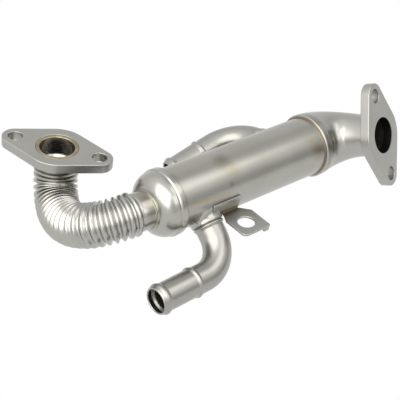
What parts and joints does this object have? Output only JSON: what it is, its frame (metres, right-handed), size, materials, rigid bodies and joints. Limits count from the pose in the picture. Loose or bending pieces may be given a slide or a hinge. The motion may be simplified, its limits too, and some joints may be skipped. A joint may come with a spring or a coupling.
{
  "type": "egr cooler",
  "caption": "Shell-and-tube exhaust gas cooler with a bent bellows inlet, flanged gas ends, a reducing outlet elbow, beaded coolant pipes and a slotted bracket.",
  "frame": {"origin": "centre of the gas bore in the inlet flange's gasket face", "axes": "+Z out of the inlet flange's gasket face, +X along the shell from the inlet dome to the outlet elbow"},
  "size_m": [0.2408, 0.1514, 0.0933],
  "materials": {
    "plate_steel": "satin stainless plate, lightly brushed",
    "drawn_steel": "satin drawn stainless sheet with faint heat tint near the brazed joints",
    "tube_steel": "bright satin stainless tube"
  },
  "bodies": {
    "root": {"inlet_flange": "plate_steel", "inlet_collar": "drawn_steel", "bellows": "tube_steel", "inlet_dome": "drawn_steel", "shell": "drawn_steel", "inlet_tube_sheet": "plate_steel", "outlet_tube_sheet": "plate_steel", "front_baffle": "plate_steel", "rear_baffle": "plate_steel", "outlet_elbow": "drawn_steel", "outlet_flange": "plate_steel", "front_coolant_pipe": "tube_steel", "rear_coolant_pipe": "tube_steel", "bracket": "plate_steel", "gas_tube_01": "tube_steel", "gas_tube_02": "tube_steel", "gas_tube_03": "tube_steel", "gas_tube_04": "tube_steel", "gas_tube_05": "tube_steel", "gas_tube_06": "tube_steel", "gas_tube_07": "tube_steel", "gas_tube_08": "tube_steel", "gas_tube_09": "tube_steel", "gas_tube_10": "tube_steel", "gas_tube_11": "tube_steel", "gas_tube_12": "tube_steel", "gas_tube_13": "tube_steel", "gas_tube_14": "tube_steel", "gas_tube_15": "tube_steel", "gas_tube_16": "tube_steel", "gas_tube_17": "tube_steel", "gas_tube_18": "tube_steel", "gas_tube_19": "tube_steel"}
  },
  "joints": []
}
